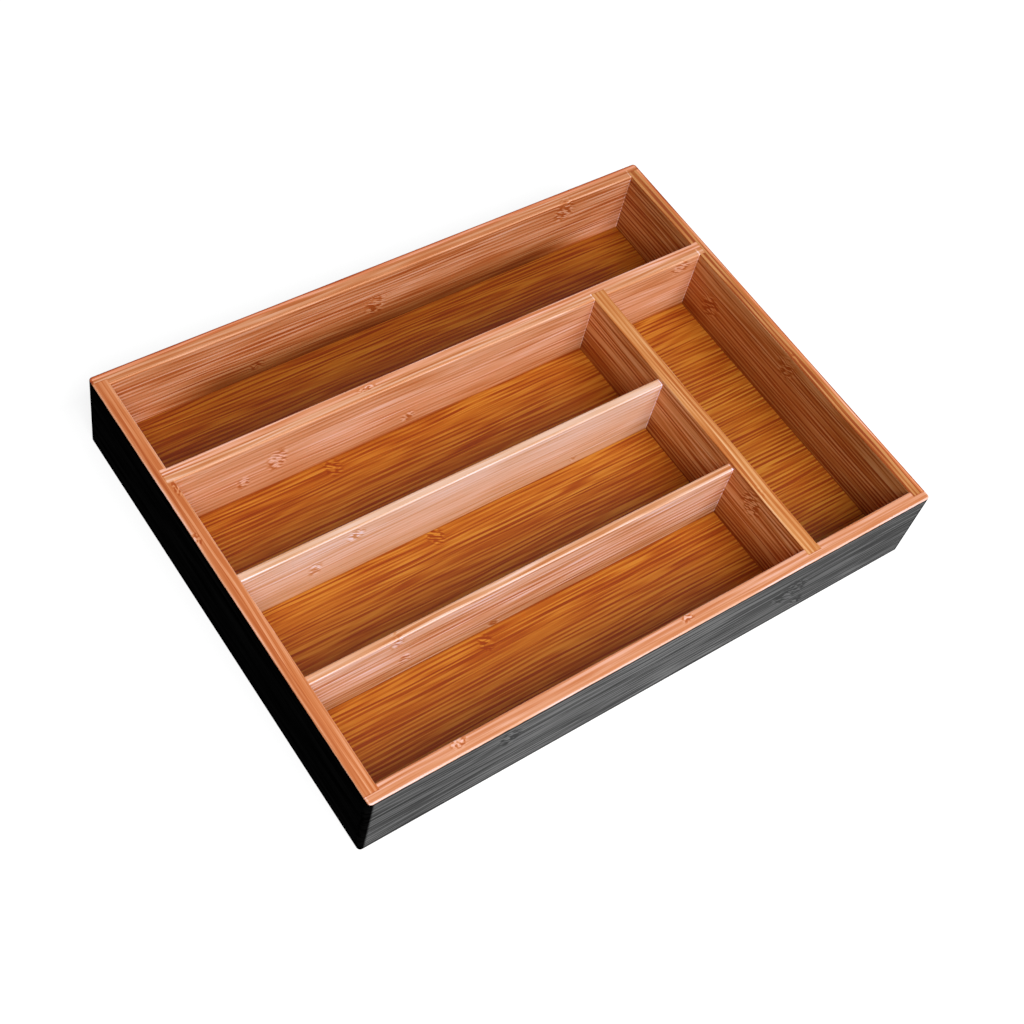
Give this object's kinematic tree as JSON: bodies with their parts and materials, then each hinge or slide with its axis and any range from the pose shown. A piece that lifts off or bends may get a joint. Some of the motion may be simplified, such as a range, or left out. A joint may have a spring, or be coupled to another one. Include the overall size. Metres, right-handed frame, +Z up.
{
  "type": "cutlery tray",
  "caption": "Flat rectangular bamboo cutlery tray with housed dividers that make open compartments, natural inside and stained black outside.",
  "frame": {"origin": "centre of the underside, in the plane of the boards' lower edges", "axes": "+X to the right along the long front board, +Y from the front board to the back board, +Z up out of the open compartments"},
  "size_m": [0.34, 0.26, 0.05],
  "materials": {
    "wall_bamboo": "satin varnished bamboo, outer faces stained black",
    "divider_bamboo": "satin varnished bamboo",
    "panel_bamboo": "satin varnished bamboo strips"
  },
  "bodies": {
    "root": {"front_board": "wall_bamboo", "back_board": "wall_bamboo", "left_board": "wall_bamboo", "right_board": "wall_bamboo", "bottom_panel": "panel_bamboo", "long_divider": "divider_bamboo", "cross_divider": "divider_bamboo", "rear_short_divider": "divider_bamboo", "front_short_divider": "divider_bamboo"}
  },
  "joints": []
}
